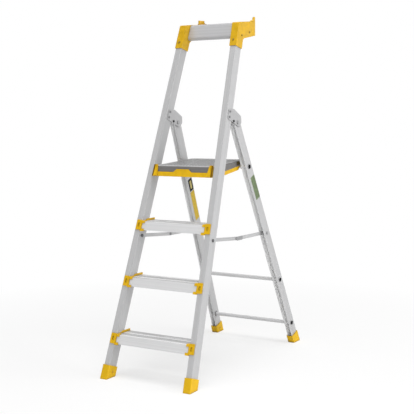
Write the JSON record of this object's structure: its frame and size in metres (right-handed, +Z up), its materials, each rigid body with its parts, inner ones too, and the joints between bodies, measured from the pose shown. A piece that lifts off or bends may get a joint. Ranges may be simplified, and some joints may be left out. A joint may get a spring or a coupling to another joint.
{
  "type": "platform step ladder",
  "caption": "Folding step ladder with grooved treads, a platform with a grey deck and yellow frame, a knee rail above, and hinged rear legs held by folding spreaders.",
  "frame": {"origin": "middle of the footprint, on the floor", "axes": "+Z up, +X to the right of a person facing the treads, +Y from the treads to the rear legs"},
  "size_m": [0.478, 1.0686, 1.5884],
  "materials": {
    "profile": "satin extruded",
    "tread": "satin extruded, grooved",
    "rail": "satin",
    "yellow": "moulded",
    "deck": "moulded, ribbed",
    "foot": "matt moulded",
    "plate": "zinc plated",
    "rivet": "satin",
    "screw": "zinc plated",
    "link": "satin",
    "black": "matt black",
    "cover": "matt grey",
    "pin": "zinc plated"
  },
  "bodies": {
    "front_frame": {"corner_screws": "screw", "front_foot_left": "foot", "front_foot_right": "foot", "front_foot_screws": "screw", "front_stile_left": "profile", "front_stile_right": "profile", "hinge_pins": "pin", "hinge_plate_inner_left": "plate", "hinge_plate_inner_right": "plate", "hinge_plate_outer_left": "plate", "hinge_plate_outer_right": "plate", "hinge_rivets": "rivet", "hinge_stops": "black", "platform_pins": "pin", "spreader_front_bolts": "black", "spreader_front_spacers": "pin", "top_corner_left": "yellow", "top_corner_right": "yellow", "top_rail": "rail", "tread_1": "tread", "tread_2": "tread", "tread_3": "tread", "tread_cap_1_left": "yellow", "tread_cap_1_right": "yellow", "tread_cap_2_left": "yellow", "tread_cap_2_right": "yellow", "tread_cap_3_left": "yellow", "tread_cap_3_right": "yellow", "tread_rivets": "rivet"},
    "rear_link_left": {"knuckle_cap_left": "cover", "spreader_rear_link_left": "link"},
    "rear_link_right": {"knuckle_cap_right": "cover", "spreader_rear_link_right": "link"},
    "front_link_left": {"knuckle_head_left": "black", "spreader_front_link_left": "link"},
    "front_link_right": {"knuckle_head_right": "black", "spreader_front_link_right": "link"},
    "platform": {"platform_deck": "deck", "platform_frame": "yellow"},
    "rear_frame": {"platform_rest_bar": "profile", "rear_bar_lower": "profile", "rear_bar_plugs": "black", "rear_bar_upper": "profile", "rear_foot_left": "foot", "rear_foot_right": "foot", "rear_foot_screws": "screw", "rear_leg_left": "profile", "rear_leg_right": "profile", "spreader_rear_bolts": "pin", "spreader_rear_spacers": "pin"}
  },
  "joints": [
    {"name": "rear_fold", "type": "hinge", "parent": "front_frame", "child": "rear_frame", "pos_m": [0, -0.02651, 1.10144], "axis": [-1, 0, 0], "range_deg": [0, 45]},
    {"name": "platform_fold", "type": "hinge", "parent": "front_frame", "child": "platform", "pos_m": [0, -0.18166, 0.873], "axis": [1, 0, 0], "range_deg": [0, 66.01]},
    {"name": "front_link_left_turn", "type": "hinge", "parent": "front_frame", "child": "front_link_left", "pos_m": [0, -0.29107, 0.6], "axis": [1, 0, 0], "range_deg": [0, 65.97]},
    {"name": "rear_link_left_turn", "type": "hinge", "parent": "rear_frame", "child": "rear_link_left", "pos_m": [0, 0.22276, 0.57885], "axis": [-1, 0, 0], "range_deg": [0, 54.74]},
    {"name": "front_link_right_turn", "type": "hinge", "parent": "front_frame", "child": "front_link_right", "pos_m": [0, -0.29107, 0.6], "axis": [1, 0, 0], "range_deg": [0, 65.97]},
    {"name": "rear_link_right_turn", "type": "hinge", "parent": "rear_frame", "child": "rear_link_right", "pos_m": [0, 0.22276, 0.57885], "axis": [-1, 0, 0], "range_deg": [0, 54.74]}
  ],
  "couplings": [
    {"joint": "platform_fold", "follows": "rear_fold", "ratio": 1.4667},
    {"joint": "front_link_left_turn", "follows": "rear_fold", "ratio": 1.4658},
    {"joint": "rear_link_left_turn", "follows": "rear_fold", "ratio": 1.2162},
    {"joint": "front_link_right_turn", "follows": "rear_fold", "ratio": 1.4658},
    {"joint": "rear_link_right_turn", "follows": "rear_fold", "ratio": 1.2162}
  ]
}
